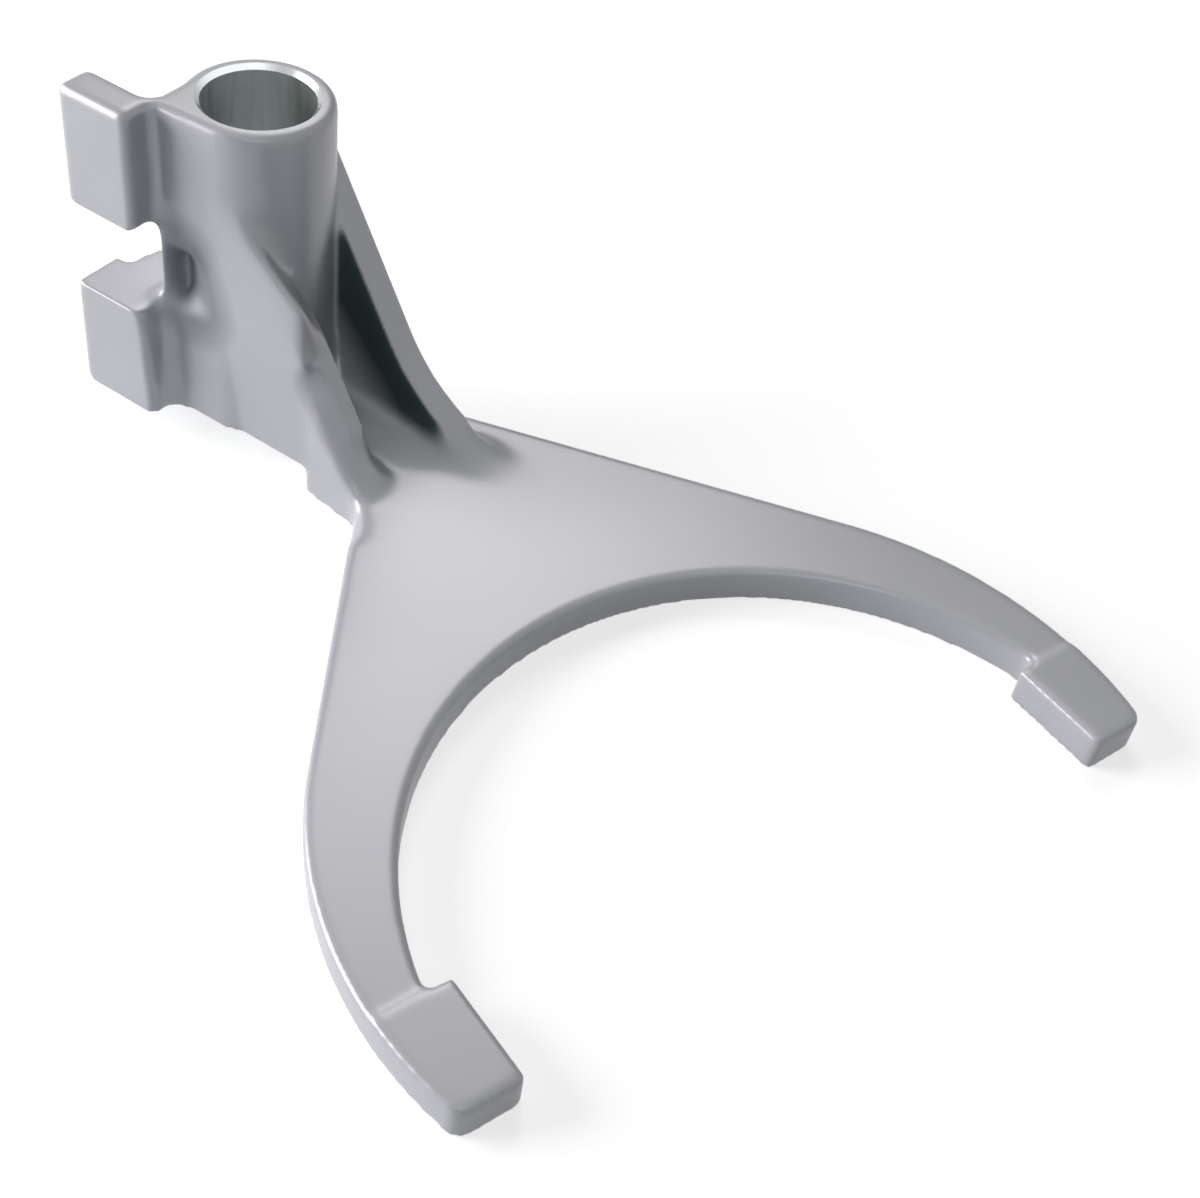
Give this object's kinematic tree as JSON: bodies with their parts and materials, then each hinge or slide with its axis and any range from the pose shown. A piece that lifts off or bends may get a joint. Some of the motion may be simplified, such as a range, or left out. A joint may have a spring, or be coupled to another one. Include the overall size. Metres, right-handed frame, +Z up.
{
  "type": "transmission shift fork",
  "caption": "One-piece cast shift fork: a bored hub with a slotted selector lug, joined by twin ribs to a flat forked plate whose padded arms straddle a sliding sleeve.",
  "frame": {"origin": "centre of the rail bore at the hub's lower end", "axes": "+Z up along the bore, -Y from the hub towards the fork, -X from the hub towards the selector lugs"},
  "size_m": [0.1168, 0.159, 0.055],
  "materials": {
    "cast_alloy": "satin as-cast skin, bore and pads machined"
  },
  "bodies": {
    "root": {"shift_fork": "cast_alloy"}
  },
  "joints": []
}
